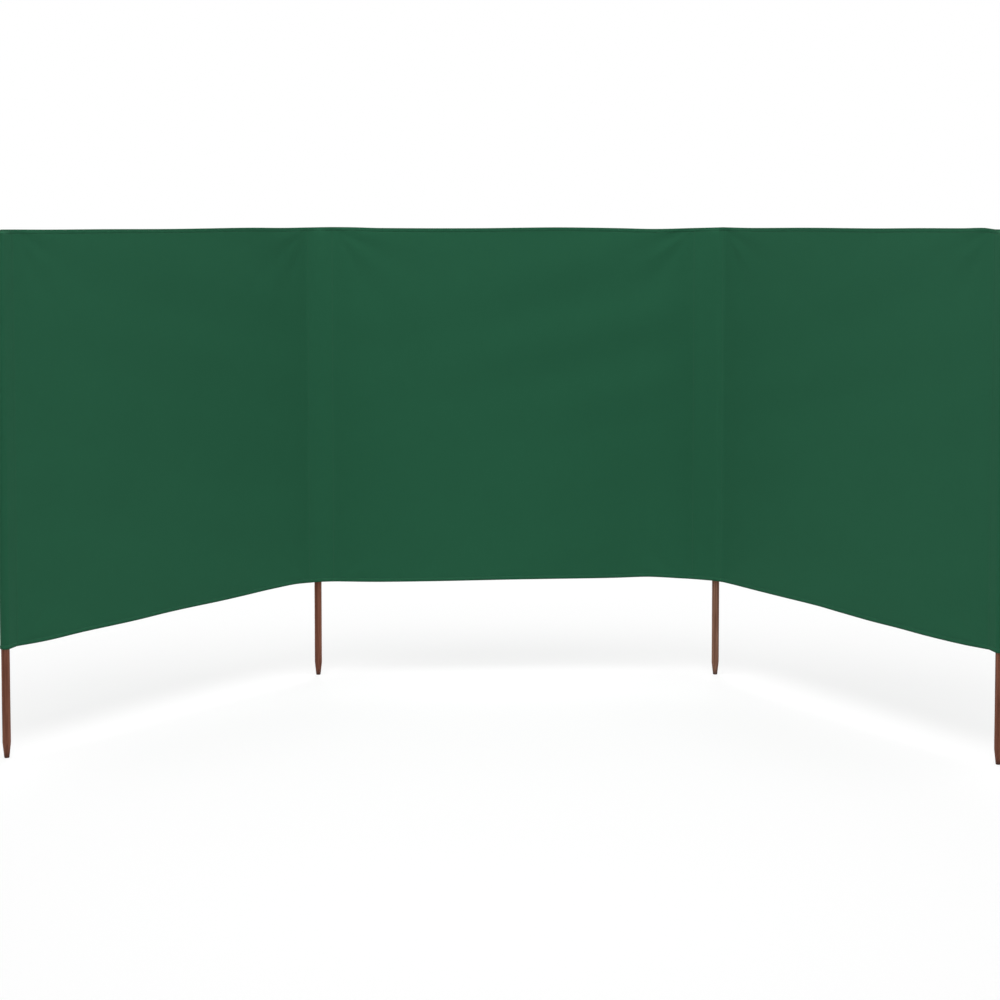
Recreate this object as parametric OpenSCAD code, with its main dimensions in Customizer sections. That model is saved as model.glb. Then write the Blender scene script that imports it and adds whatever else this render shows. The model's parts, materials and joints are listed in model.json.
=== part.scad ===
// Beach windbreak: three bays of cloth held up by four pointed wooden poles.
// The origin is the centre of the left inner pole's foot. +X runs along the middle bay
// to the right inner pole, -Y is the sheltered front and +Z is up. All sizes are in millimetres.

/* [Poles] */
// Diameter of a pole
pole_d = 24; // [18:1:40]
// Length of a pole, from its foot to its top
pole_length = 1486; // [1000:1:2200]
// Length of the tapered foot
foot_taper = 42; // [20:1:80]
// Diameter of the flat end of the foot
foot_d = 12; // [6:1:14]
// Width of the bevel at both ends of a pole
pole_bevel = 1.5; // [0.5:0.1:1.9]

/* [Cloth] */
// Distance from one pole's axis to the next
bay_width = 1333; // [600:1:2000]
// Height of the cloth, hems included
cloth_height = 1187; // [500:1:1400]
// Thickness of one layer of cloth
cloth_t = 1; // [0.4:0.1:2]
// Height of the hems along the top and bottom edges
hem_height = 15; // [8:1:60]
// Layers turned over to the back in a hem
hem_layers = 2; // [1:1:3]

/* [Pole pockets] */
// Gap between a pole and its pocket
pocket_fit = 0.3; // [0.1:0.1:0.9]
// Distance from the round wall of a pocket to its stitch line
pocket_tail = 6; // [4:0.5:20]
// Layers of cloth sewn together at the stitch line
seam_layers = 3; // [2:1:5]
// Height of the pinched top, above the pole
pocket_top = 13.7; // [5:0.1:40]
// Gap on which a wing turns about the pocket of its inner pole
swing_gap = 0.3; // [0.1:0.1:0.9]

/* [Set-up] */
// Angle of the left wing, forward of a straight line
left_wing_angle = 53.5; // [0:0.1:90]
// Angle of the right wing, forward of a straight line
right_wing_angle = 59.8; // [0:0.1:90]

/* [Hidden] */
$fn = 96;

cloth_color = [0.14, 0.33, 0.24];
hem_color = [0.12, 0.29, 0.21];
pole_color = [0.43, 0.28, 0.22];

pole_r = pole_d / 2;
foot_r = foot_d / 2;
bore_r = pole_r + pocket_fit;
pocket_r = bore_r + cloth_t;
bore_top = pole_length + pocket_fit;
cloth_top = bore_top + pocket_top;
cloth_bottom = cloth_top - cloth_height;
hem_t = hem_layers * cloth_t;

// The stitch line where a pocket's layers meet the bay's cloth
seam_x = pocket_r + pocket_tail;
seam_half_t = seam_layers * cloth_t / 2;
cloth_width = bay_width - 2 * seam_x;

// Angle, seen from the pole's axis, at which the tail's layers would just touch the round wall
tail_angle = atan2(seam_half_t, seam_x) + acos(pocket_r / norm([seam_x, seam_half_t]));
tail_root = [pole_r * cos(tail_angle), pole_r * sin(tail_angle)];

// Slope of the pinched top, and how far its cutting outline runs past the pocket
pinch_slope = pocket_top / (pocket_r - seam_half_t);
cut_margin = 5;

// A turned pole: a blunt point to push into the sand, and a bevelled top
module pole() {
    color(pole_color)
        rotate_extrude()
            polygon([
                [0, 0],
                [foot_r, 0],
                [foot_r + pole_bevel, pole_bevel],
                [pole_r, foot_taper],
                [pole_r, pole_length - pole_bevel],
                [pole_r - pole_bevel, pole_length],
                [0, pole_length],
            ]);
}

// A round bar from the bottom of the cloth up
module upright(radius, height) {
    translate([0, 0, cloth_bottom])
        cylinder(r = radius, h = height);
}

// The flared layers that run from a pocket's round wall to the stitch line at +X
module tail() {
    translate([0, 0, cloth_bottom])
        linear_extrude(cloth_height)
            polygon([
                [tail_root.x, tail_root.y],
                [seam_x, seam_half_t],
                [seam_x, -seam_half_t],
                [tail_root.x, -tail_root.y],
            ]);
}

// Keeps the part of a pocket that lies under its pinched top
module pinched() {
    intersection() {
        children();
        translate([-pocket_r - cut_margin, 0, 0])
            rotate([90, 0, 90])
                linear_extrude(pocket_r + seam_x + 2 * cut_margin)
                    polygon([
                        [-pocket_r - cut_margin, cloth_bottom - cut_margin],
                        [pocket_r + cut_margin, cloth_bottom - cut_margin],
                        [pocket_r + cut_margin, bore_top - cut_margin * pinch_slope],
                        [seam_half_t, cloth_top],
                        [-seam_half_t, cloth_top],
                        [-pocket_r - cut_margin, bore_top - cut_margin * pinch_slope],
                    ]);
    }
}

// A sewn pocket round a pole at the origin, open below, with its stitch line at +X
module pocket() {
    color(cloth_color)
        difference() {
            pinched()
                union() {
                    upright(pocket_r, cloth_height);
                    tail();
                }
            upright(bore_r, bore_top - cloth_bottom);
        }
}

// The flared edge by which a wing turns about its inner pocket, with its stitch line at +X
module wing_seam() {
    color(cloth_color)
        pinched()
            difference() {
                tail();
                upright(pocket_r + swing_gap, cloth_height);
            }
}

// The flat cloth of a bay that starts at a pole at the origin and runs to +X
module bay_cloth() {
    color(cloth_color)
        translate([seam_x, -cloth_t / 2, cloth_bottom])
            cube([cloth_width, cloth_t, cloth_height]);
}

// A hem strip on the back of the cloth, lying at z = 0 with its round fold upwards
module hem_strip() {
    color(hem_color)
        translate([seam_x, cloth_t / 2 + hem_t / 2, 0])
            rotate([90, 0, 90])
                linear_extrude(cloth_width) {
                    translate([-hem_t / 2, 0])
                        square([hem_t, hem_height - hem_t / 2]);
                    translate([0, hem_height - hem_t / 2])
                        circle(d = hem_t);
                }
}

module bay_top_hem() {
    translate([0, 0, cloth_top - hem_height])
        hem_strip();
}

module bay_bottom_hem() {
    translate([0, 0, cloth_bottom + hem_height])
        mirror([0, 0, 1])
            hem_strip();
}

// Frames of the bays, each with its left pole at the origin and its back towards +Y
module in_left_wing() {
    rotate(left_wing_angle)
        translate([-bay_width, 0, 0])
            children();
}

module in_right_wing() {
    translate([bay_width, 0, 0])
        rotate(-right_wing_angle)
            children();
}

// The right pole of a bay, with what is sewn there turned to face the bay
module at_right_pole() {
    translate([bay_width, 0, 0])
        rotate(180)
            children();
}

in_left_wing() pole();  // left_end_pole
pole();  // left_inner_pole
at_right_pole() pole();  // right_inner_pole
in_right_wing() at_right_pole() pole();  // right_end_pole

in_left_wing() pocket();  // left_end_pocket
pocket();  // left_inner_pocket
at_right_pole() pocket();  // right_inner_pocket
in_right_wing() at_right_pole() pocket();  // right_end_pocket

in_left_wing() at_right_pole() wing_seam();  // left_wing_seam
in_right_wing() wing_seam();  // right_wing_seam

in_left_wing() bay_cloth();  // left_cloth
bay_cloth();  // middle_cloth
in_right_wing() bay_cloth();  // right_cloth

in_left_wing() bay_top_hem();  // left_top_hem
bay_top_hem();  // middle_top_hem
in_right_wing() bay_top_hem();  // right_top_hem

in_left_wing() bay_bottom_hem();  // left_bottom_hem
bay_bottom_hem();  // middle_bottom_hem
in_right_wing() bay_bottom_hem();  // right_bottom_hem
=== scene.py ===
import bisect
import bmesh
import bpy
import json
import math
import random
from mathutils import Matrix, Vector, noise


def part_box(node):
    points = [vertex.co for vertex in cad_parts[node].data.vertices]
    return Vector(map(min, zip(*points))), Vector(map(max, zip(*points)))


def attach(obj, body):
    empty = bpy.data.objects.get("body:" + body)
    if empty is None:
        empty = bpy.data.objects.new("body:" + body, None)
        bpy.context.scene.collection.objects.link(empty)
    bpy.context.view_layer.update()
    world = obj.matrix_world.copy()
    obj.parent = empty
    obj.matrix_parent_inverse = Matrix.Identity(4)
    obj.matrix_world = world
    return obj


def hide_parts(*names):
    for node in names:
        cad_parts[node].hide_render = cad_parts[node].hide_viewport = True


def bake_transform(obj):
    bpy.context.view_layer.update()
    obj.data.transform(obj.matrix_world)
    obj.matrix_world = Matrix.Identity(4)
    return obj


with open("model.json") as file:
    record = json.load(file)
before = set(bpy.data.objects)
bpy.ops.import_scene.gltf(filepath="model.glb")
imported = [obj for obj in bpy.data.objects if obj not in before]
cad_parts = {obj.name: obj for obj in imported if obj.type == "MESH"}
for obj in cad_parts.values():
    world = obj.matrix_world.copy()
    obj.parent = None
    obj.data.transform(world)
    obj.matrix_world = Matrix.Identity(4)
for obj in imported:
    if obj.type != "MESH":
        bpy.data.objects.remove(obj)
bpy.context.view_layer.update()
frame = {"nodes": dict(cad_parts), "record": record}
scene = bpy.context.scene
scene.view_settings.view_transform = "Standard"
print("frame loaded:", len(frame["nodes"]), "solids")

footOf = {m["name"].replace("_foot", ""): Vector(m["pos_m"][:2]) for m in frame["record"]["mounts"]}
clothLow, clothHigh = (corner.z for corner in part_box("middle_cloth"))
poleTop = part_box("left_inner_pole")[1].z
white = (1, 1, 1, 1)


# Meshes and nodes

def objectFrom(bm, name, material):
    mesh = bpy.data.meshes.new(name)
    bm.to_mesh(mesh)
    bm.free()
    obj = bpy.data.objects.new(name, mesh)
    scene.collection.objects.link(obj)
    mesh.materials.append(material)
    return obj


def smoothShade(obj, sharpAbove):  # degrees
    obj.data.shade_smooth()
    obj.data.set_sharp_from_angle(angle=math.radians(sharpAbove))


def nodesOf(tree):
    tree.nodes.clear()
    return tree.nodes, tree.links


def freshMaterial(name):
    material = bpy.data.materials.new(name)
    material.use_nodes = True
    nodes, links = nodesOf(material.node_tree)
    out = nodes.new("ShaderNodeOutputMaterial")
    shader = nodes.new("ShaderNodeBsdfPrincipled")
    links.new(shader.outputs[0], out.inputs[0])
    return material, nodes, links, shader


def calc(nodes, links, operation, a, b=None):
    node = nodes.new("ShaderNodeMath")
    node.operation = operation
    for socket, value in zip(node.inputs, (a, b)):
        if value is None:
            continue
        if isinstance(value, (int, float)):
            socket.default_value = value
        else:
            links.new(value, socket)
    return node.outputs[0]


def seenPlainly(nodes, links):  # 1 for what is looked at, also in a gloss or through a clear piece
    path = nodes.new("ShaderNodeLightPath")
    seen = path.outputs["Is Camera Ray"]
    for ray in ("Is Glossy Ray", "Is Transmission Ray"):
        seen = calc(nodes, links, "MAXIMUM", seen, path.outputs[ray])
    return seen


def grainNoise(nodes, links, place, scale, detail, bend=0.0):
    fit = nodes.new("ShaderNodeMapping")
    fit.inputs["Scale"].default_value = scale
    links.new(place, fit.inputs[0])
    grain = nodes.new("ShaderNodeTexNoise")
    grain.inputs["Scale"].default_value = 1.0
    grain.inputs["Detail"].default_value = detail
    grain.inputs["Distortion"].default_value = bend
    links.new(fit.outputs[0], grain.inputs["Vector"])
    return grain.outputs[0]


def tintRamp(nodes, links, value, places, tints):
    ramp = nodes.new("ShaderNodeValToRGB")
    stops = ramp.color_ramp.elements
    for stop, end in ((stops[0], 0), (stops[1], -1)):
        stop.position = places[end]
        stop.color = (*tints[end], 1)
    for place, tint in zip(places[1:-1], tints[1:-1]):
        stops.new(place).color = (*tint, 1)
    links.new(value, ramp.inputs[0])
    return ramp.outputs[0]


def darkened(nodes, links, colour, share, tint):
    mix = nodes.new("ShaderNodeMix")
    mix.data_type = "RGBA"
    mix.blend_type = "MULTIPLY"
    links.new(share, mix.inputs["Factor"])
    links.new(colour, mix.inputs[6])
    mix.inputs[7].default_value = (*tint, 1)
    return mix.outputs[2]


def giveRelief(nodes, links, shader, height, finish):  # roughness and bump follow the grain
    rough = nodes.new("ShaderNodeMapRange")
    links.new(height, rough.inputs["Value"])
    rough.inputs["To Min"].default_value, rough.inputs["To Max"].default_value = finish["roughness"]
    links.new(rough.outputs[0], shader.inputs["Roughness"])
    bump = nodes.new("ShaderNodeBump")
    bump.inputs["Distance"].default_value = finish["bump"]
    bump.inputs["Strength"].default_value = finish["bumpShare"]
    links.new(height, bump.inputs["Height"])
    links.new(bump.outputs[0], shader.inputs["Normal"])
    shader.inputs["Specular IOR Level"].default_value = finish["specular"]


# Camera, light and floor

view = {
    "place": (0.5906, -6.8386, 1.5197),
    "tilt": 3.30,       # degrees downwards
    "turn": -0.162,     # degrees to the left
    "lens": 74.07,
    "sensor": 36,
    "shift": -0.16,
}

light = {
    "sky": 0.35,
    "backdrop": 1.0,    # the sky as it is looked at
    "lamps": {          # place, power, width
        "front": ((0.6, -4.0, 6.5), 196.0, 4.5),
        "left": ((-0.9, -0.9, 4.8), 81.0, 2.5),
        "right": ((2.2, -0.9, 4.8), 72.0, 2.5),
        "back": ((0.6, 7.0, 4.6), 300.0, 4.5),
    },
    "aim": (0.6, -0.5, 0.8),
}

ground = {
    "tone": 0.85,
    "white": (0.66, 1.0),   # share of plain white in the floor as it is looked at, near and far
    "fade": (2.2, 5.5),     # metres from the middle
    "reach": 60.0,
}


def setCamera():
    cam = bpy.data.objects.new("camera", bpy.data.cameras.new("camera"))
    cam.location = view["place"]
    cam.rotation_euler = (math.radians(90 - view["tilt"]), 0, math.radians(view["turn"]))
    cam.data.lens = view["lens"]
    cam.data.sensor_width = view["sensor"]
    cam.data.shift_y = view["shift"]
    scene.collection.objects.link(cam)
    scene.camera = cam


def setLight():
    world = bpy.data.worlds.new("studio")
    scene.world = world
    world.use_nodes = True
    nodes, links = nodesOf(world.node_tree)
    out = nodes.new("ShaderNodeOutputWorld")
    mix = nodes.new("ShaderNodeMixShader")
    links.new(seenPlainly(nodes, links), mix.inputs[0])
    for socket, strength in ((mix.inputs[1], light["sky"]), (mix.inputs[2], light["backdrop"])):
        sky = nodes.new("ShaderNodeBackground")
        sky.inputs["Color"].default_value = white
        sky.inputs["Strength"].default_value = strength
        links.new(sky.outputs[0], socket)
    links.new(mix.outputs[0], out.inputs[0])

    for name, (place, power, width) in light["lamps"].items():
        lamp = bpy.data.lights.new(name, "AREA")
        lamp.shape = "DISK"
        lamp.size = width
        lamp.energy = power
        soft = bpy.data.objects.new(name, lamp)
        soft.location = place
        soft.rotation_euler = (Vector(light["aim"]) - soft.location).to_track_quat("-Z", "Y").to_euler()
        scene.collection.objects.link(soft)


def paleFloor():
    material, nodes, links, shader = freshMaterial("pale_floor")
    shader.inputs["Base Color"].default_value = (ground["tone"], ground["tone"], ground["tone"], 1)
    shader.inputs["Roughness"].default_value = 1.0
    shader.inputs["Specular IOR Level"].default_value = 0.0
    glow = nodes.new("ShaderNodeEmission")
    glow.inputs["Color"].default_value = white
    glow.inputs["Strength"].default_value = light["backdrop"]
    place = nodes.new("ShaderNodeTexCoord")
    off = nodes.new("ShaderNodeVectorMath")
    off.operation = "DISTANCE"
    links.new(place.outputs["Object"], off.inputs[0])
    off.inputs[1].default_value = (light["aim"][0], light["aim"][1], 0)
    fade = nodes.new("ShaderNodeMapRange")
    fade.interpolation_type = "SMOOTHSTEP"
    links.new(off.outputs["Value"], fade.inputs["Value"])
    fade.inputs["From Min"].default_value, fade.inputs["From Max"].default_value = ground["fade"]
    fade.inputs["To Min"].default_value, fade.inputs["To Max"].default_value = ground["white"]
    mix = nodes.new("ShaderNodeMixShader")
    links.new(calc(nodes, links, "MULTIPLY", seenPlainly(nodes, links), fade.outputs[0]), mix.inputs[0])
    links.new(shader.outputs[0], mix.inputs[1])
    links.new(glow.outputs[0], mix.inputs[2])
    links.new(mix.outputs[0], nodes["Material Output"].inputs[0])
    return material


def layFloor():
    bm = bmesh.new()
    bmesh.ops.create_grid(bm, x_segments=1, y_segments=1, size=ground["reach"])
    floor = objectFrom(bm, "floor", paleFloor())


# Finishes

canvasFinish = {
    "shade": (0.0138, 0.0885, 0.0436),      # in the gaps between the yarns
    "crown": (0.0172, 0.1015, 0.0510),      # on top of the yarns
    "pitch": 0.0009,                        # from yarn to yarn
    "mottle": (                             # scale across and up the cloth, and strength
        ((14, 520, 1), 0.8),                # thick and thin yarns across
        ((520, 14, 1), 0.8),                # thick and thin yarns up
        ((3.2, 3.2, 1), 0.4),               # soft clouds
    ),
    "mottleDetail": 2.0,
    "roughness": (0.94, 0.80),              # in the gaps, and on the yarns
    "bump": 0.00016,
    "bumpShare": 0.6,
    "specular": 0.1,
    "sheen": 0.02,
    "sheenRoughness": 0.45,
    "sheenTint": (0.45, 0.75, 0.58),
    "soil": (0.66, 0.67, 0.66),             # painted shade that darkens the folded edges, where the top light catches them
    "soilReach": (0.006, 0.014),            # reach of the painted shade on an edge, and on the top of an end pocket
}


def greenCanvas():
    material, nodes, links, shader = freshMaterial("green_canvas")
    uv = nodes.new("ShaderNodeUVMap")
    uv.uv_map = "cloth"
    axes = nodes.new("ShaderNodeSeparateXYZ")
    links.new(uv.outputs[0], axes.inputs[0])
    turn = math.pi / canvasFinish["pitch"]
    warp = calc(nodes, links, "SINE", calc(nodes, links, "MULTIPLY", axes.outputs[0], turn))
    weft = calc(nodes, links, "SINE", calc(nodes, links, "MULTIPLY", axes.outputs[1], turn))
    over = calc(nodes, links, "GREATER_THAN", calc(nodes, links, "MULTIPLY", warp, weft), 0.0)
    yarn = nodes.new("ShaderNodeMix")
    links.new(over, yarn.inputs["Factor"])
    links.new(calc(nodes, links, "ABSOLUTE", warp), yarn.inputs[2])
    links.new(calc(nodes, links, "ABSOLUTE", weft), yarn.inputs[3])
    height = yarn.outputs[0]

    tone = height
    for scale, strength in canvasFinish["mottle"]:
        grain = grainNoise(nodes, links, uv.outputs[0], scale, canvasFinish["mottleDetail"])
        level = calc(nodes, links, "SUBTRACT", grain, 0.5)  # the noise lies about a half
        tone = calc(nodes, links, "ADD", tone, calc(nodes, links, "MULTIPLY", level, strength))

    paint = nodes.new("ShaderNodeMix")
    paint.data_type = "RGBA"
    links.new(tone, paint.inputs["Factor"])
    paint.inputs[6].default_value = (*canvasFinish["shade"], 1)
    paint.inputs[7].default_value = (*canvasFinish["crown"], 1)
    # painted shade along the folded edges and on the end pockets' tops, multiplied into the base colour
    edge = nodes.new("ShaderNodeAttribute")
    edge.attribute_name = "soil"
    edgeShaded = darkened(nodes, links, paint.outputs[2], edge.outputs["Fac"], canvasFinish["soil"])
    links.new(edgeShaded, shader.inputs["Base Color"])
    giveRelief(nodes, links, shader, height, canvasFinish)
    shader.inputs["Sheen Weight"].default_value = canvasFinish["sheen"]
    shader.inputs["Sheen Roughness"].default_value = canvasFinish["sheenRoughness"]
    shader.inputs["Sheen Tint"].default_value = (*canvasFinish["sheenTint"], 1)
    return material


threadFinish = {
    "tints": ((0.011, 0.066, 0.033), (0.021, 0.104, 0.054)),
    "places": (0.35, 0.65),
    "ply": 900,             # strands in a metre
    "roughness": 0.8,
}


def greenThread():
    material, nodes, links, shader = freshMaterial("green_thread")
    place = nodes.new("ShaderNodeTexCoord")
    ply = nodes.new("ShaderNodeTexNoise")
    ply.inputs["Scale"].default_value = threadFinish["ply"]
    links.new(place.outputs["Object"], ply.inputs["Vector"])
    colour = tintRamp(nodes, links, ply.outputs[0], threadFinish["places"], threadFinish["tints"])
    links.new(colour, shader.inputs["Base Color"])
    shader.inputs["Roughness"].default_value = threadFinish["roughness"]
    return material


woodFinish = {
    "stains": {             # dark, middle and pale
        "stained_wood": ((0.084, 0.0265, 0.0142), (0.159, 0.0563, 0.0328), (0.229, 0.0915, 0.0550)),
        "faded_wood": ((0.100, 0.0415, 0.0242), (0.181, 0.0862, 0.0550), (0.260, 0.1385, 0.0916)),
    },
    "places": (0.35, 0.50, 0.66),
    "streaks": (            # scale, detail, bend and share
        ((150, 150, 3.2), 3.0, 1.2, 0.72),      # grain
        ((900, 900, 14), 2.0, 0.0, 0.28),       # fibres
    ),
    "tip": (0.42, 0.44, 0.50),      # how much darker the point is towards its bottom end
    "tipReach": (-0.0096, 0.016),   # heights between which the dark fades out
    "tipRagged": 0.016,
    "roughness": (0.72, 0.52),
    "bump": 0.0003,
    "bumpShare": 0.5,
    "specular": 0.14,
}


def stainedWood(name):
    material, nodes, links, shader = freshMaterial(name)
    place = nodes.new("ShaderNodeTexCoord")
    parts = []
    for scale, detail, bend, share in woodFinish["streaks"]:
        grain = grainNoise(nodes, links, place.outputs["Object"], scale, detail, bend)
        parts.append(calc(nodes, links, "MULTIPLY", grain, share))
    blend = calc(nodes, links, "ADD", *parts)
    colour = tintRamp(nodes, links, blend, woodFinish["places"], woodFinish["stains"][name])
    axes = nodes.new("ShaderNodeSeparateXYZ")
    links.new(place.outputs["Object"], axes.inputs[0])
    ragged = calc(nodes, links, "MULTIPLY", blend, woodFinish["tipRagged"])
    # darker towards the bottom of the point, with a ragged upper edge
    pointDark = nodes.new("ShaderNodeMapRange")
    pointDark.interpolation_type = "SMOOTHSTEP"
    links.new(calc(nodes, links, "SUBTRACT", axes.outputs[2], ragged), pointDark.inputs["Value"])
    pointDark.inputs["From Min"].default_value, pointDark.inputs["From Max"].default_value = woodFinish["tipReach"]
    pointDark.inputs["To Min"].default_value = 1.0
    pointDark.inputs["To Max"].default_value = 0.0
    stained = darkened(nodes, links, colour, pointDark.outputs[0], woodFinish["tip"])
    links.new(stained, shader.inputs["Base Color"])
    giveRelief(nodes, links, shader, blend, woodFinish)
    return material


# Poles

dowel = {
    "radius": 0.012,
    "point": 0.042,         # length of the point
    "tip": 0.006,           # radius of its blunt end
    "bevel": 0.0015,
    "roundBevel": (0.6, 0.25),              # the middle of a worn bevel, out and up
    "taper": (0.25, 0.5, 0.75, 0.95),       # rings on the point
    "shoulder": 0.004,      # from the point to the first full ring
    "step": 0.03,
    "sides": 56,
    "wobble": 0.00018,
    "marks": (90, 16),      # how close the marks lie, round the pole and along it
    "shuffle": (7, 5),      # moves the marks from pole to pole
    "chop": 2.2,            # how much rougher the point is
    "sharpAbove": 35,
}


def poleOutline():
    r, tip, point, bevel = dowel["radius"], dowel["tip"], dowel["point"], dowel["bevel"]
    out, up = dowel["roundBevel"]
    full = point + dowel["shoulder"]
    rings = int((poleTop - point) / dowel["step"])
    outline = [(0, 0), (tip, 0), (tip + out * bevel, up * bevel), (tip + bevel, bevel)]
    outline += [(tip + bevel + (r - tip - bevel) * f, bevel + (point - bevel) * f) for f in dowel["taper"]]
    outline += [(r, full + (poleTop - bevel - full) * k / rings) for k in range(rings + 1)]
    outline += [(r - (1 - out) * bevel, poleTop - up * bevel), (r - bevel, poleTop), (0, poleTop)]
    return outline


def turnPole(name, node, body, wood):
    bm = bmesh.new()
    verts = [bm.verts.new((x, 0, z)) for x, z in poleOutline()]
    for a, b in zip(verts, verts[1:]):
        bm.edges.new((a, b))
    bmesh.ops.spin(bm, geom=bm.verts[:] + bm.edges[:], cent=(0, 0, 0), axis=(0, 0, 1), dvec=(0, 0, 0),
                   angle=2 * math.pi, steps=dowel["sides"], use_merge=True, use_duplicate=False)
    bmesh.ops.remove_doubles(bm, verts=bm.verts[:], dist=1e-6)
    bmesh.ops.recalc_face_normals(bm, faces=bm.faces[:])
    at = footOf[node]
    nearly = 1e-4
    markRound, markAlong = dowel["marks"]
    shiftX, shiftY = at.x * dowel["shuffle"][0], at.y * dowel["shuffle"][1]
    for v in bm.verts:  # hand-fed lathe marks, and a point that is not quite round
        out = Vector((v.co.x, v.co.y, 0))
        if out.length > nearly and nearly < v.co.z < poleTop - dowel["bevel"]:
            spot = Vector((v.co.x * markRound + shiftX, v.co.y * markRound + shiftY, v.co.z * markAlong))
            chop = dowel["chop"] if v.co.z < dowel["point"] else 1.0
            v.co -= out.normalized() * dowel["wobble"] * chop * (0.5 + noise.noise(spot))
    bmesh.ops.translate(bm, verts=bm.verts[:], vec=(at.x, at.y, 0))
    pole = objectFrom(bm, name, wood)
    smoothShade(pole, dowel["sharpAbove"])
    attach(pole, body)
    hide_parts(node)


# Cloth: each sheet is a flat grid, hung along a line on the ground plan

cloth = {
    "thickness": 0.0007,
    "layer": 0.0008,                # from one folded layer to the next
    "lie": 1.1,                     # layers from a panel to a flange sewn on its back
    "row": 0.0105,
    "column": 0.0105,
    "edgeColumns": (0.004, 6),      # width and number of the narrow columns beside a seam
    "sharpAbove": 50,
}

hem = {
    "width": 0.015,
    "turnIn": 0.007,                # edge turned in under the hem
    "stitch": 0.0118,               # from the edge to the stitch line
    "puff": 0.0011,
    "puffCurve": 0.7,
    "dent": (0.0004, 0.002),        # depth along the stitch line, and half its width
    "climb": 0.004,                 # height over which another layer climbs on to the hem
    "nearPanel": 0.93,              # second row, as a share of the width
    # rows in front and behind, as shares of the way to the stitch line
    "front": (1, 0.93, 0.84, 0.74, 0.64, 0.54, 0.44, 0.35, 0.27, 0.19, 0.12),
    "back": (0.3, 0.6, 0.85, 1),
    "fold": (0, 0.63, 1.26, 1.88, 2.51, math.pi),       # rows, as angles round the folded edge
    "backFold": (0.8, 1.57, 2.34),                      # and round the turned-in edge
}

pocket = {
    "seam": 0.0423,         # from an end pole's axis to its stitch line
    "seams": {              # from an inner pole's axis: in the middle bay, and in the wing
        "left": (0.050, 0.042),
        "right": (0.076, 0.030),
    },
    "tube": 0.0141,         # middle of the cloth round the pole
    "flange": 0.010,
    "round": 0.020,         # how far from an inner pocket's seam the cloth starts to bend
    "shy": 0.0022,          # how far a flange stops below the top edge
    "curl": 0.75,           # layers that the edge of a flange stands off the cloth
    "overHem": 3.2,         # layers that a flange stands out where it passes a hem
    "tuck": 0.003,          # slack of the front cloth at a corner
    "ear": 0.015,           # end of the flat top, past the pole's axis
    "gape": 0.0024,         # half the width of the closed top
    "closeAt": 0.30,        # where an inner pocket's top closes, from its front (0) to the pole's axis (1)
    "closeCurve": 1.4,
    "lead": 0.007,          # how far in front of the pole's axis an end pocket's top closes
    "pinchFrom": 0.0025,    # below the pole's top
    "pinchEnd": 0.0012,     # below the top edge
    "cornerDrop": {         # depth, and how far inside the end pole's axis it starts
        "left": (0.006, 0.006),
        "right": (0.0040, 0.034),
    },
    "dropCurve": 1.5,
    "columns": {"front": 18, "leg": 9, "round": 20, "flange": 4, "ear": 8, "shy": 5},
    "blendLevel": 0.9,      # height of the points between which a wing's swing sets in
}

bays = {
    "left": {
        "topSag": ((0, 0.0004), (0.1, 0.0016), (0.22, 0.0006), (0.4, 0.0026), (0.52, 0.0037),
                   (0.72, 0.0035), (0.88, 0.0040), (1, 0.0033)),
        "bottomLift": ((0, 0.0040), (0.06, 0.0085), (0.13, 0.0066), (0.22, 0.0022), (0.32, 0.0003),
                       (0.5, 0.0008), (0.62, -0.0013), (0.8, -0.0009), (0.91, -0.0033), (1, -0.0007)),
        "belly": (0.012, 0.45, 0.35),       # depth, and where it is deepest, across and up
        "hang": (0.020, 0.22),              # depth at the bottom edge, and where
        "seed": 3.7,
    },
    "middle": {
        "topSag": ((0, -0.0008), (0.06, -0.0001), (0.14, 0.0025), (0.4, 0.0031), (0.6, 0.0003),
                   (0.7, 0.0010), (0.8, 0.0031), (0.89, 0.0055), (1, 0.0024)),
        "bottomLift": ((0, 0.0023), (0.12, 0.0001), (0.3, 0.0014), (0.5, 0.0042), (0.7, 0.0060),
                       (0.8, 0.0085), (0.88, 0.0134), (0.94, 0.0127), (1, 0.0097)),
        "belly": (0.010, 0.5, 0.5),
        "hang": (0.034, 0.80),
        "seed": 11.2,
    },
    "right": {
        "topSag": ((0, -0.0002), (0.12, 0.0017), (0.35, 0.0003), (0.6, 0.0014), (0.75, 0.0001),
                   (0.9, -0.0001), (0.965, -0.0014), (1, 0.0026)),
        "bottomLift": ((0, 0.0053), (0.2, 0.0055), (0.4, 0.0070), (0.5, 0.0038), (0.6, 0.0010),
                       (0.7, 0.0012), (0.8, -0.0004), (0.92, 0), (1, 0.0042)),
        "belly": (0.008, 0.4, 0.55),
        "hang": (-0.006, 0.75),
        "seed": 23.9,
    },
}

folds = {
    "corner": 0.0017,
    "cornerReach": 0.20,
    "cornerCount": 12,
    "lowCorner": 0.8,           # share of it at the two lower corners
    "drag": 0.0014,             # long shallow folds
    "dragPitch": 0.23,
    "dragSlope": 14,
    "dragPatches": (1.7, 2.3),
    "rumple": 0.0016,
    "rumplePatches": (5.0, 3.4),
    "held": 0.07,               # share of the width that a seam holds flat
    "hangCurve": 2.2,
}


def clip(value, low=0.0, high=1.0):
    return min(high, max(low, value))


def ease(t):
    t = clip(t)
    return t * t * (3 - 2 * t)


def along(points, t):  # smooth curve through (place, value) points
    last = len(points) - 1
    for k in range(last):
        (a, p), (b, q) = points[k], points[k + 1]
        if t <= b:
            (c, before), (d, after) = points[max(0, k - 1)], points[min(last, k + 2)]
            rise1, rise2 = (q - before) / (b - c) * (b - a), (after - p) / (d - a) * (b - a)
            u = (t - a) / (b - a)
            cubic = rise1 + rise2 - 2 * (q - p)
            return p + u * (rise1 + u * (3 * (q - p) - 2 * rise1 - rise2 + u * cubic))
    return points[last][1]


def hump(t, peak):  # 0 at both ends and 1 at the peak
    return ease(t / peak) if t < peak else ease((1 - t) / (1 - peak))


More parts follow.
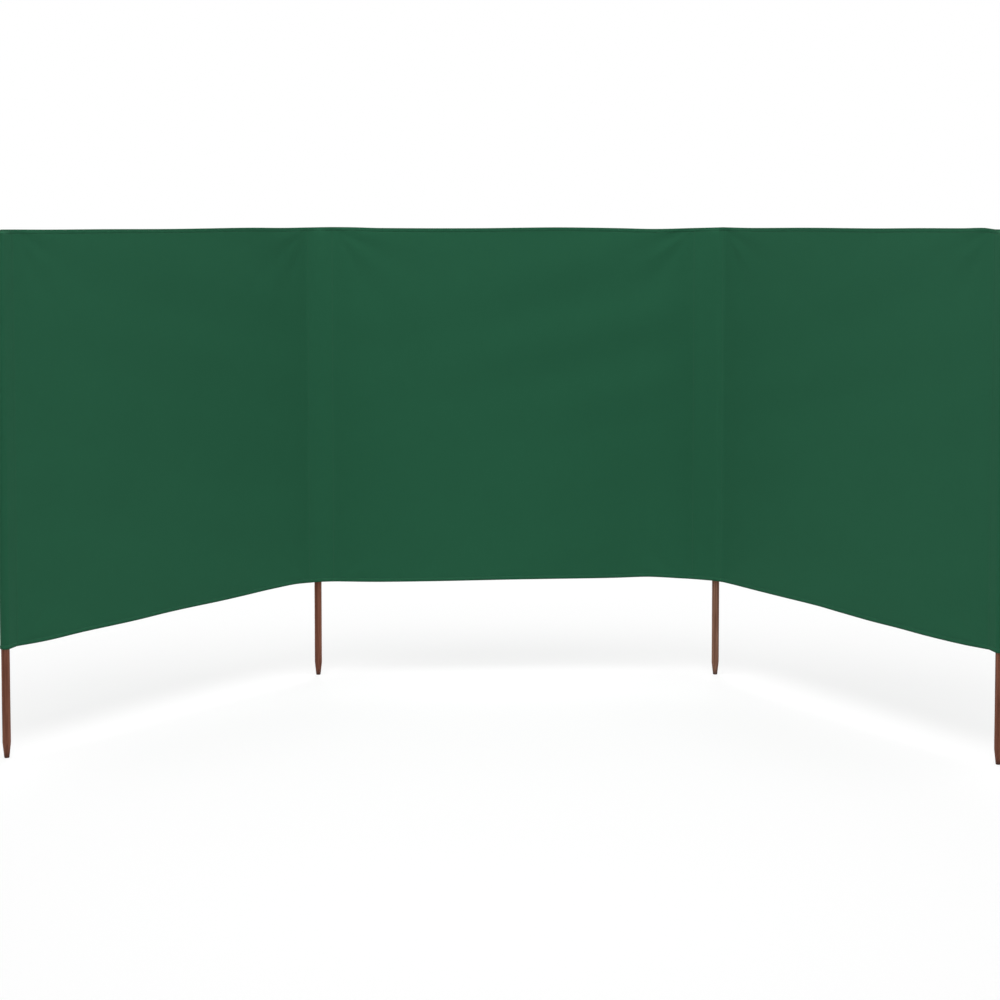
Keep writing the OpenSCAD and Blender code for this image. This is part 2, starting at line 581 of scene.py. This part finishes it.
def bulge(bay, f, z, width):  # how far the cloth stands to the back of its plane
    if not 0 < f < 1:
        return 0.0
    spec = bays[bay]
    seed = spec["seed"]
    up = (z - clothLow) / (clothHigh - clothLow)
    s = f * width
    held = ease(f / folds["held"]) * ease((1 - f) / folds["held"])
    depth, peak, height = spec["belly"]
    out = depth * hump(f, peak) * hump(clip(up, 0.001, 0.999), height)
    depth, peak = spec["hang"]
    out += depth * hump(f, peak) * (1 - clip(up)) ** folds["hangCurve"]
    for level, amount in ((1, 1.0), (0, folds["lowCorner"])):
        for side in (0, 1):
            dx = abs(s - side * width)
            dz = abs(z - (clothHigh if level else clothLow))
            fan = math.cos(folds["cornerCount"] * math.atan2(dz, dx + 1e-6) + seed + side + 2 * level)
            fade = math.exp(-math.hypot(dx, dz) / folds["cornerReach"])
            out += held * amount * folds["corner"] * fade * fan
    slope = math.radians(folds["dragSlope"])
    across = z * math.cos(slope) - s * math.sin(slope)
    patchS, patchZ = folds["dragPatches"]
    swell = 0.5 + noise.noise(Vector((s * patchS, z * patchZ, seed)))
    out += held * folds["drag"] * swell * math.sin(2 * math.pi * across / folds["dragPitch"] + seed)
    patchS, patchZ = folds["rumplePatches"]
    out += held * folds["rumple"] * noise.noise(Vector((s * patchS, z * patchZ, seed * 2)))
    return out


def hemRows():  # (layer offset to the back, distance in from the edge), from the panel to the turned-in edge
    gap, width, sewn = cloth["layer"], hem["width"], hem["stitch"]
    rows = [(0, width), (0, width * hem["nearPanel"]), (0, (width + 2 * sewn) / 3)]
    rows += [(0, sewn * share) for share in hem["front"]]
    rows += [(gap - gap * math.cos(a), gap - gap * math.sin(a)) for a in hem["fold"]]
    rows += [(2 * gap, 2 * gap)]
    rows += [(2 * gap, sewn * share) for share in hem["back"]]
    rows += [(2 * gap, width - gap / 2)]
    turn = gap / 2
    rows += [(1.5 * gap + turn * math.cos(a), width - turn + turn * math.sin(a)) for a in hem["backFold"]]
    rows += [(gap, width - gap / 2), (gap, sewn), (gap, width - hem["turnIn"])]
    return rows


def sheetRows():  # (edge: -1 bottom, 0 body, 1 top; layer offset; distance or share), and their flat places
    folded = hemRows()
    length = clothHigh - clothLow - 2 * hem["width"]
    count = int(length / cloth["row"])
    rows = [(-1, h, d) for h, d in reversed(folded)]
    rows += [(0, 0.0, k / count) for k in range(1, count)]
    rows += [(1, h, d) for h, d in folded]
    flat = [0.0]
    for (e1, h1, d1), (e2, h2, d2) in zip(rows, rows[1:]):
        if e1 == e2 == 0:
            step = (d2 - d1) * length
        elif e1 == e2:
            step = math.hypot(h2 - h1, d2 - d1)
        else:
            step = length / count
        flat.append(flat[-1] + step)
    return rows, flat


def span(a, b, count, start=1):
    return [a.lerp(b, k / count) for k in range(start, count + 1)]


def lengths(points):
    out = [0.0]
    for a, b in zip(points, points[1:]):
        out.append(out[-1] + (b - a).length)
    return out


def sharesAcross(width, narrowEnds):  # where the columns of a bay lie, from 0 to 1
    fine, count = cloth["edgeColumns"]
    near = [fine * k / width for k in range(count)]
    low = fine * count / width
    high = 1 - low if narrowEnds == 2 else 1.0
    wide = int((high - low) * width / cloth["column"])
    shares = near + [low + (high - low) * k / wide for k in range(wide)] + [high]
    if narrowEnds == 2:
        shares += [1 - share for share in reversed(near)]
    return shares


def cornerAt(side, middle):  # an inner pole, with the ways to the middle bay and out along the wing
    inner, end = footOf[side + "_inner_pole"], footOf[side + "_end_pole"]
    out = (end - inner).normalized()
    seam1, seam2 = (inner + way * far for way, far in zip((middle, out), pocket["seams"][side]))
    chord = (seam2 - seam1).normalized()
    return {"side": side, "pole": inner, "end": end, "middle": middle, "out": out, "seams": (seam1, seam2),
            "bends": ((seam1, chord + middle), (seam2, out - chord)),       # place, and where it pulls
            "onMiddle": 0 if side == "left" else 1}                         # end of the middle bay


def backOf(way, other):  # square to a bay, away from the bay that it meets
    back = Vector((-way.y, way.x))
    return -back if back.dot(other) > 0 else back


def rounded(p, bends):  # puts a point of the ground plan on the curves that round the bends
    reach = pocket["round"]
    for bend, pull in bends:
        p = p + pull * max(0.0, reach - (p - bend).length) ** 2 / (4 * reach)
    return p


def passBy(pole, a, b):  # where the straight front of a pocket passes its pole, how far off, and which way
    t = (pole - a).dot(b - a) / (b - a).length_squared
    off = pole - a.lerp(b, t)
    return t, off.length, off.normalized()


# A line holds a sheet's columns: on the ground plan with the pockets open and shut, and where each lies in
# the bay as f, which is -1 in front of an inner pole, 0 to 1 across the bay and 2 in the end pocket

def bayLine(bends, back):
    start, end = (place for place, pull in bends)
    shares = sharesAcross((end - start).length, 2)
    line = [rounded(start.lerp(end, f), bends) for f in shares]
    plain = [0.0] * len(line)
    return {"open": line, "shut": line, "f": shares, "back": back, "flat": lengths(line),
            "drop": plain, "rise": plain, "share": plain, "onMiddle": 0}


def wingLine(corner):  # from the middle bay's seam, past the inner pole and round the end pole
    side, end, out, bends = corner["side"], corner["end"], corner["out"], corner["bends"]
    seam1, seam2 = corner["seams"]
    back = backOf(out, corner["middle"])
    tube, gape, columns = pocket["tube"], pocket["gape"], pocket["columns"]
    facet, legs, arc, lip = (columns[part] for part in ("front", "leg", "round", "flange"))

    nearest, reach, toPole = passBy(corner["pole"], seam1, seam2)
    opened, shut, share = [], [], []
    for k in range(facet + 1):
        t = k / facet
        chord = seam1.lerp(seam2, t)
        opened.append(chord + toPole * pocket["tuck"] * hump(t, nearest))
        shut.append(chord + toPole * pocket["closeAt"] * reach * hump(t, nearest) ** pocket["closeCurve"])
        share.append(1 - t)
    panelEnd = end - out * pocket["seam"]
    shares = sharesAcross((panelEnd - seam2).length, 1)
    panel = [seam2.lerp(panelEnd, f) for f in shares[1:]]
    opened = [rounded(p, bends) for p in opened + panel]
    shut = [rounded(p, bends) for p in shut + panel]

    lean = math.acos(tube / pocket["seam"])

    def onTube(angle):  # round the end pole, from its side towards the bay
        return end - out * tube * math.cos(angle) + back * tube * math.sin(angle)

    seat = panelEnd + back * cloth["layer"] * cloth["lie"]
    flangeEnd = seat - out * pocket["flange"]
    opened += span(panelEnd, onTube(-lean), legs)
    opened += [onTube(-lean - (2 * math.pi - 2 * lean) * k / arc) for k in range(1, arc + 1)]
    opened += span(onTube(lean), seat, legs)
    opened += span(seat, flangeEnd, lip)

    ear = end + out * pocket["ear"] - back * pocket["lead"]
    over = back * 2 * cloth["layer"]
    shutLegs = legs + (arc - columns["ear"]) // 2
    shut += span(panelEnd, ear - back * gape, shutLegs)
    for k in range(1, columns["ear"] + 1):
        a = math.pi * k / columns["ear"]
        shut.append(ear + out * gape * math.sin(a) - back * gape * math.cos(a))
    shut += span(ear + back * gape, seat + over, shutLegs)
    shut += span(seat + over, flangeEnd + over, lip)

    total = len(opened)
    f = [-1] * facet + shares
    f += [2] * (total - len(f))
    share += [0.0] * (total - len(share))
    drop, rise = [0.0] * total, [0.0] * total
    depth, start = pocket["cornerDrop"][side]
    for k, p in enumerate(shut):
        past = (p - end).dot(out) + start
        if past > 0 and f[k] == 2:
            drop[k] = depth * ease(past / (pocket["ear"] + gape + start)) ** pocket["dropCurve"]
    shyFrom = total - lip - columns["shy"]
    for k in range(shyFrom, total):  # the flange stops just short of the top edge
        drop[k] = max(drop[k], pocket["shy"] * ease((k - shyFrom) / columns["shy"]))
    for k in range(lip):
        rise[total - lip + k] = (k + 1) / lip
    rise[-1] = pocket["curl"]
    return {"open": opened, "shut": shut, "f": f, "back": back, "flat": lengths(opened),
            "drop": drop, "rise": rise, "share": share, "onMiddle": corner["onMiddle"]}


def edgesOf(bay, line):  # heights of the top and bottom edges, column by column
    tops, lows = [], []
    for f, share, drop in zip(line["f"], line["share"], line["drop"]):
        sag, lift = (along(bays[bay][edge], clip(f, 0, 1)) for edge in ("topSag", "bottomLift"))
        if share:
            sag += (along(bays["middle"]["topSag"], line["onMiddle"]) - sag) * share
            lift += (along(bays["middle"]["bottomLift"], line["onMiddle"]) - lift) * share
        tops.append(clothHigh - sag - drop)
        lows.append(clothLow + lift)
    return tops, lows


def levelOf(edge, d, top, low):
    if edge > 0:
        return top - d
    if edge < 0:
        return low + d
    return (low + hem["width"]) + (top - low - 2 * hem["width"]) * d


def pinchAt(z, top):  # 0 where a pocket is open round its pole, 1 where its top is shut
    start = poleTop - pocket["pinchFrom"]
    return ease((z - start) / (top - pocket["pinchEnd"] - start))


def normalAt(plan, i, facing):
    way = plan[min(len(plan) - 1, i + 1)] - plan[max(0, i - 1)]
    return Vector((-way.y, way.x)).normalized() * facing


def facingOf(way, back):  # 1 if the back is to the left of the columns' way, and -1 if not
    return 1 if Vector((-way.y, way.x)).dot(back) > 0 else -1


# painted shade, strongest on a folded edge and fading inwards
def edgeShadeAt(edge, d, f):
    if edge == 0:
        return 0.0
    onEdge, onPocket = canvasFinish["soilReach"]
    return max(0.0, 1 - d / (onPocket if edge > 0 and f == 2 else onEdge))


def hangSheet(name, bay, line, rows, flatRows, canvas):
    opened, shut, shares = line["open"], line["shut"], line["f"]
    width = sum((b - a).length for a, b, f in zip(opened, opened[1:], shares) if 0 <= f < 1)
    first = shares.index(0.0)
    facing = facingOf((opened[first + 1] - opened[first]).normalized(), line["back"])
    tops, lows = edgesOf(bay, line)
    points, soil = [], []
    for edge, layer, d in rows:
        heights = [levelOf(edge, d, top, low) for top, low in zip(tops, lows)]
        plan = [a.lerp(b, pinchAt(z, top)) for a, b, z, top in zip(opened, shut, heights, tops)]
        puff = dent = climb = 0.0
        if edge:
            onHem = ease((hem["width"] + hem["climb"] - d) / hem["climb"])
            climb = onHem * pocket["overHem"] * cloth["layer"]
        if edge and layer == 0:
            deep, half = hem["dent"]
            puff = hem["puff"] * math.sin(math.pi * min(1, d / hem["stitch"])) ** hem["puffCurve"]
            dent = deep * max(0, 1 - abs(d - hem["stitch"]) / half)
        row = []
        for i, (f, z, rise) in enumerate(zip(shares, heights, line["rise"])):
            offset = layer + bulge(bay, f, z, width) - puff + dent
            lift = (climb if rise else 0.0) + rise * cloth["layer"]
            spot = plan[i] + normalAt(plan, i, facing) * offset + line["back"] * lift
            row.append(Vector((spot.x, spot.y, z)))
        points.append(row)
        soil.append([edgeShadeAt(edge, d, f) for f in shares])
    return clothFrom(name, points, line["flat"], flatRows, facing, canvas, soil)


def clothFrom(name, points, flatU, flatV, facing, canvas, soil=None):
    columns = len(flatU)
    bm = bmesh.new()
    bmesh.ops.create_grid(bm, x_segments=columns - 1, y_segments=len(flatV) - 1, size=0.5)
    bm.verts.ensure_lookup_table()
    uv = bm.loops.layers.uv.new("cloth")
    # a layer that carries the painted shade along the folded edges
    edgeShadeLayer = bm.verts.layers.float.new("soil") if soil else None
    for face in bm.faces:
        for loop in face.loops:
            j, i = divmod(loop.vert.index, columns)
            loop[uv].uv = (flatU[i], flatV[j])
    for v in bm.verts:
        j, i = divmod(v.index, columns)
        v.co = points[j][i]
        if soil:
            v[edgeShadeLayer] = soil[j][i]
    if facing < 0:
        bmesh.ops.reverse_faces(bm, faces=bm.faces[:])
    sheet = objectFrom(bm, name, canvas)
    thicken(sheet)
    return sheet, {"points": points, "u": flatU, "v": flatV, "facing": facing}


def thicken(sheet):
    wall = sheet.modifiers.new("cloth", "SOLIDIFY")
    wall.thickness = cloth["thickness"]
    wall.offset = 0
    bpy.context.view_layer.update()
    flat = sheet.data
    sheet.data = bpy.data.meshes.new_from_object(sheet.evaluated_get(bpy.context.evaluated_depsgraph_get()))
    sheet.modifiers.clear()
    sheet.data.name = sheet.name
    bpy.data.meshes.remove(flat)
    smoothShade(sheet, cloth["sharpAbove"])


# Pocket tape behind an inner pole

tape = {
    "hem": 0.014,
    "fold": (0.8, 1.57, 2.3),       # rows, as angles round the folded bottom edge
    "start": 0.001,                 # first plain row above the bottom edge
    "row": 0.0105,
    "topGap": 0.004,                # below the top edge of the cloth
    "topZone": (0.03, 14),          # height and number of the rows where the pocket closes
    "behind": 0.0022,               # behind the front cloth where the top is shut
    "overHem": 1.9,                 # layers that it stands out where it passes a hem
    "overColumns": 3,               # how many columns beside the seam do so
    "short": 0.0006,                # how far its bottom edge stops above the cloth's
    "columns": {"leg": 9, "round": 16, "flange": 4},
    "stitch": 0.006,                # from its side edges to the stitch lines
    "firstSewn": 4,                 # row where they start
}


def tapeLine(corner):  # from a flange on the middle bay, behind the pole, to a flange on the wing
    inner, middle, out, bends = corner["pole"], corner["middle"], corner["out"], corner["bends"]
    back1, back2 = backOf(middle, out), backOf(out, middle)
    far1, far2 = pocket["seams"][corner["side"]]
    tube, flange = pocket["tube"], pocket["flange"]
    legs, arc, lip = (tape["columns"][part] for part in ("leg", "round", "flange"))
    spin = 1 if middle.x * back1.y - middle.y * back1.x > 0 else -1
    from1 = math.atan2(middle.y, middle.x) + spin * math.acos(tube / far1)
    from2 = math.atan2(out.y, out.x) - spin * math.acos(tube / far2)
    sweep = (from2 - from1) * spin % (2 * math.pi) * spin

    def onTube(angle):
        return inner + Vector((math.cos(angle), math.sin(angle))) * tube

    lie = cloth["layer"] * cloth["lie"]
    seat1, seat2 = inner + middle * far1 + back1 * lie, inner + out * far2 + back2 * lie
    edge1, edge2 = seat1 + middle * flange, seat2 + out * flange
    opened = span(edge1, seat1, lip, 0) + span(seat1, onTube(from1), legs)
    opened += [onTube(from1 + sweep * k / arc) for k in range(1, arc + 1)]
    opened += span(onTube(from2), seat2, legs) + span(seat2, edge2, lip)
    opened = [rounded(p, bends) for p in opened]

    total = len(opened)
    flat = lengths(opened)
    run = flat[total - 1 - lip] - flat[lip]
    turnAt = (flat[lip + legs + arc // 2] - flat[lip]) / run
    nearest, reach, toPole = passBy(inner, seat1, seat2)
    depth = pocket["closeAt"] * reach + tape["behind"]
    shut = opened[:]
    for k in range(lip, total - lip):
        t = (flat[k] - flat[lip]) / run
        t = t / turnAt * nearest if t < turnAt else 1 - (1 - t) / (1 - turnAt) * (1 - nearest)
        closed = seat1.lerp(seat2, t) + toPole * depth * hump(t, nearest) ** pocket["closeCurve"]
        shut[k] = rounded(closed, bends)
    rise = [0.0] * total
    for k in range(lip):
        rise[k] = rise[total - 1 - k] = (lip - k) / lip
    rise[0] = rise[-1] = pocket["curl"]
    return {"open": opened, "shut": shut, "rise": rise, "flat": flat, "backs": (back1, back2)}


def tapeRows():  # (layer offset to the front, height), from the turned-in edge up, and their flat places
    low, top, gap = clothLow, clothHigh - tape["topGap"], cloth["layer"]
    zone, fine = tape["topZone"]
    start, closing = low + tape["start"], top - zone
    count = int((closing - low) / tape["row"])
    rows = [(gap, low + d) for d in (tape["hem"], tape["hem"] / 2, gap)]
    rows += [(gap / 2 + gap / 2 * math.cos(a), low + (gap - gap * math.sin(a))) for a in tape["fold"]]
    rows += [(0.0, start + (closing - start) * k / count) for k in range(count)]
    rows += [(0.0, closing + zone * k / fine) for k in range(fine + 1)]
    flat = [0.0]
    for (h1, z1), (h2, z2) in zip(rows, rows[1:]):
        flat.append(flat[-1] + math.hypot(h2 - h1, z2 - z1))
    return rows, flat


def hangTape(name, corner, line, canvas):
    rows, flatRows = tapeRows()
    low, top = clothLow, clothHigh - tape["topGap"]
    lift1 = along(bays["middle"]["bottomLift"], corner["onMiddle"])
    lift2 = bays[corner["side"]]["bottomLift"][0][1]
    columns, lip = len(line["open"]), tape["columns"]["flange"]
    back1, back2 = line["backs"]
    facing = facingOf(line["open"][1] - line["open"][0], back1)
    onTop, onBottom = clothHigh - hem["width"] - hem["climb"], clothLow + hem["width"] + hem["climb"]
    points = []
    for h, z in rows:
        pinch = pinchAt(z, clothHigh)
        plan = [a.lerp(b, pinch) for a, b in zip(line["open"], line["shut"])]
        climb = max(ease((z - onTop) / hem["climb"]), ease((onBottom - z) / hem["climb"]))
        row = []
        for i, (p, rise) in enumerate(zip(plan, line["rise"])):
            fromSeam = abs(min(i, columns - 1 - i) - lip)
            near = min(1.0, rise + max(0, 1 - fromSeam / tape["overColumns"]))
            lift = rise * cloth["layer"] + near * climb * tape["overHem"] * cloth["layer"]
            back = back1 if i < columns // 2 else back2
            spot = p - normalAt(plan, i, facing) * h + back * lift
            share = line["flat"][i] / line["flat"][-1]
            short = (lift1 + (lift2 - lift1) * share + tape["short"]) * (top - z) / (top - low)
            row.append(Vector((spot.x, spot.y, z + short)))
        points.append(row)
    return clothFrom(name, points, line["flat"], flatRows, facing, canvas)


# Thread

stitch = {
    "pitch": 0.0050,
    "length": 0.0036,
    "width": 0.0010,
    "proud": 0.0006,
    "crown": (0.72, 0.6),       # share of its length and width on top
    "lift": 0.15,               # share of its height by which its middle stands off the cloth
    "wander": 0.05,
    "inset": 0.001,             # from a side edge to the first stitch of a hem
    "fromSeam": 0.0022,         # from a seam to the stitches beside it
    "fromFlange": 0.004,        # from an end pocket's mouth to the stitches on its flange
    "seed": 17,
}


def onSheet(grid, u, v):  # the point at a flat place, and the cloth's two ways there
    i = min(len(grid["u"]) - 2, max(0, bisect.bisect_right(grid["u"], u) - 1))
    j = min(len(grid["v"]) - 2, max(0, bisect.bisect_right(grid["v"], v) - 1))
    a = (u - grid["u"][i]) / (grid["u"][i + 1] - grid["u"][i])
    b = (v - grid["v"][j]) / (grid["v"][j + 1] - grid["v"][j])
    p = grid["points"]
    low = p[j][i].lerp(p[j][i + 1], a)
    high = p[j + 1][i].lerp(p[j + 1][i + 1], a)
    wayU = (p[j][i + 1] - p[j][i]).lerp(p[j + 1][i + 1] - p[j + 1][i], b)
    wayV = high - low
    return low.lerp(high, b), wayU.normalized(), wayV.normalized()


def sewRun(grid, start, end, toBack):  # stitches from one flat place to another, on one side of the sheet
    runU, runV = end[0] - start[0], end[1] - start[1]
    count = int(math.hypot(runU, runV) / stitch["pitch"])
    places = []
    for k in range(count):
        t = (k + 0.5) / count
        spot, wayU, wayV = onSheet(grid, start[0] + runU * t, start[1] + runV * t)
        normal = wayU.cross(wayV).normalized() * grid["facing"]  # to the front
        if toBack:
            normal = -normal
        way = wayU if abs(runU) > abs(runV) else wayV
        across = normal.cross(way).normalized()
        at = spot + normal * (cloth["thickness"] / 2 + stitch["proud"] * stitch["lift"])
        way = (way + across * random.uniform(-stitch["wander"], stitch["wander"])).normalized()
        across = normal.cross(way)
        turn = Matrix((way, across, normal)).transposed().to_4x4()
        places.append(Matrix.Translation(at) @ turn)
    return places


def sewSheet(grid, lines, frontEnd, backEnd, seams):  # the hems in front and behind, then the upright seams
    places = []
    for v in lines["front"]:
        places += sewRun(grid, (stitch["inset"], v), (frontEnd, v), False)
    for v in lines["back"]:
        places += sewRun(grid, (stitch["inset"], v), (backEnd, v), True)
    for u in seams:
        places += sewRun(grid, (u, lines["body"][0]), (u, lines["body"][1]), False)
    return places


def stitchLines(rows, flatRows):  # flat places of the hems' stitch lines, and both ends of the front
    sewn = [(v, layer) for v, (edge, layer, d) in zip(flatRows, rows)
            if edge and math.isclose(d, hem["stitch"], abs_tol=1e-4)]

    def onLayer(offset):
        return [v for v, layer in sewn if math.isclose(layer, offset, abs_tol=1e-6)]

    front = [v for v, (edge, layer, d) in zip(flatRows, rows) if layer == 0]
    return {"front": onLayer(0), "back": onLayer(2 * cloth["layer"]), "body": (front[0], front[-1])}


def sewThread(name, places, thread):
    bm = bmesh.new()
    bmesh.ops.create_cube(bm, size=1)
    for v in bm.verts:  # a short loaf with its ends pulled down into the cloth
        long, wide = stitch["crown"] if v.co.z > 0 else (1, 1)
        x, y, z = v.co
        v.co = Vector((x * stitch["length"] * long, y * stitch["width"] * wide, z * stitch["proud"]))
    base = [v.co.copy() for v in bm.verts]
    corners, edges, faces = len(bm.verts), len(bm.edges), len(bm.faces)
    made = 1
    while made < len(places):
        take = min(made, len(places) - made)
        copied = bm.verts[:take * corners] + bm.edges[:take * edges] + bm.faces[:take * faces]
        bmesh.ops.duplicate(bm, geom=copied)
        made += take
    bm.verts.ensure_lookup_table()
    for k, v in enumerate(bm.verts):
        v.co = places[k // corners] @ base[k % corners]
    return objectFrom(bm, name, thread)


# Assembly

setCamera()
setLight()
layFloor()
print("camera, light and floor set")

poles = (       # pole, body and wood
    ("left_end", "left_wing", "stained_wood"),
    ("left_inner", "middle_bay", "stained_wood"),
    ("right_inner", "middle_bay", "faded_wood"),
    ("right_end", "right_wing", "stained_wood"),
)
random.seed(stitch["seed"])
canvas, thread = greenCanvas(), greenThread()
woods = {name: stainedWood(name) for name in woodFinish["stains"]}
for name, body, wood in poles:
    turnPole(name + "_dowel", name + "_pole", body, woods[wood])
print("poles turned")

rows, flatRows = sheetRows()
lines = stitchLines(rows, flatRows)
across = (footOf["right_inner_pole"] - footOf["left_inner_pole"]).normalized()
corners = [cornerAt("left", across), cornerAt("right", -across)]

line = bayLine([corner["bends"][0] for corner in corners], Vector((-across.y, across.x)))
middleCanvas, grid = hangSheet("middle_canvas", "middle", line, rows, flatRows, canvas)
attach(middleCanvas, "middle_bay")
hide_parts("middle_cloth", "middle_top_hem", "middle_bottom_hem")
wide = line["flat"][-1]
hemEnd = wide - stitch["inset"]
places = sewSheet(grid, lines, hemEnd, hemEnd, (stitch["fromSeam"], wide - stitch["fromSeam"]))
middleThread = sewThread("middle_thread", places, thread)
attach(middleThread, "middle_bay")
print("middle bay hung:", len(places), "stitches")

for corner in corners:
    name = corner["side"]
    body = name + "_wing"
    line = wingLine(corner)
    wing, grid = hangSheet(name + "_wing_canvas", name, line, rows, flatRows, canvas)
    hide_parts(name + "_cloth", name + "_top_hem", name + "_bottom_hem",
                name + "_end_pocket", name + "_wing_seam")
    wide = line["flat"][-1]
    facetEnd = line["flat"][line["f"].index(0.0)]
    panelEnd = line["flat"][line["f"].index(1.0)]
    flangeStart = wide - pocket["flange"]
    seams = (facetEnd + stitch["fromSeam"], panelEnd - stitch["fromSeam"], flangeStart + stitch["fromFlange"])
    places = sewSheet(grid, lines, wide - stitch["inset"], panelEnd, seams)
    wingThread = sewThread(name + "_wing_thread", places, thread)

    line = tapeLine(corner)
    strip, tapeGrid = hangTape(name + "_pocket_tape", corner, line, canvas)
    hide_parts(name + "_inner_pocket")
    tapeWide, tapeV = line["flat"][-1], tapeGrid["v"]
    tapePlaces = []
    for u in (tape["stitch"], tapeWide - tape["stitch"]):
        tapePlaces += sewRun(tapeGrid, (u, tapeV[tape["firstSewn"]]), (u, tapeV[-1]), True)
    tapeThread = sewThread(name + "_tape_thread", tapePlaces, thread)

    for piece in (wing, wingThread, strip, tapeThread):
        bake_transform(piece)
    print(name, "wing hung:", len(places) + len(tapePlaces), "stitches")
